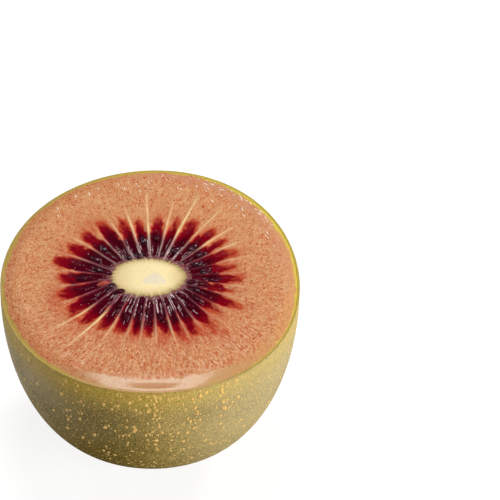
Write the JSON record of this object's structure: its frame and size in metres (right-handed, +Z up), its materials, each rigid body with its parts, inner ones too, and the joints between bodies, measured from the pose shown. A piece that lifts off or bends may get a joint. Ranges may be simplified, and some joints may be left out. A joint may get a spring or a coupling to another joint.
{
  "type": "kiwi fruit half",
  "caption": "Barrel-shaped kiwi fruit half with red-ringed flesh, pale core and small dark seeds, standing cut face up on its flat blossom end.",
  "frame": {"origin": "on the surface that the half stands on, under the middle of its cut face", "axes": "+Z up, square to the cut face; +X along the long way of the core's oval; -Y towards the picture's viewer"},
  "size_m": [0.0481, 0.0475, 0.0359],
  "materials": {
    "peel": "olive-brown peel with small tan spots, satin",
    "flesh": "salmon-orange wet flesh with a dark red ring and a cream core",
    "seed": "near-black glossy seed",
    "scar": "dry dark brown blossom scar"
  },
  "bodies": {
    "root": {"kiwi_half": "flesh"}
  },
  "joints": []
}
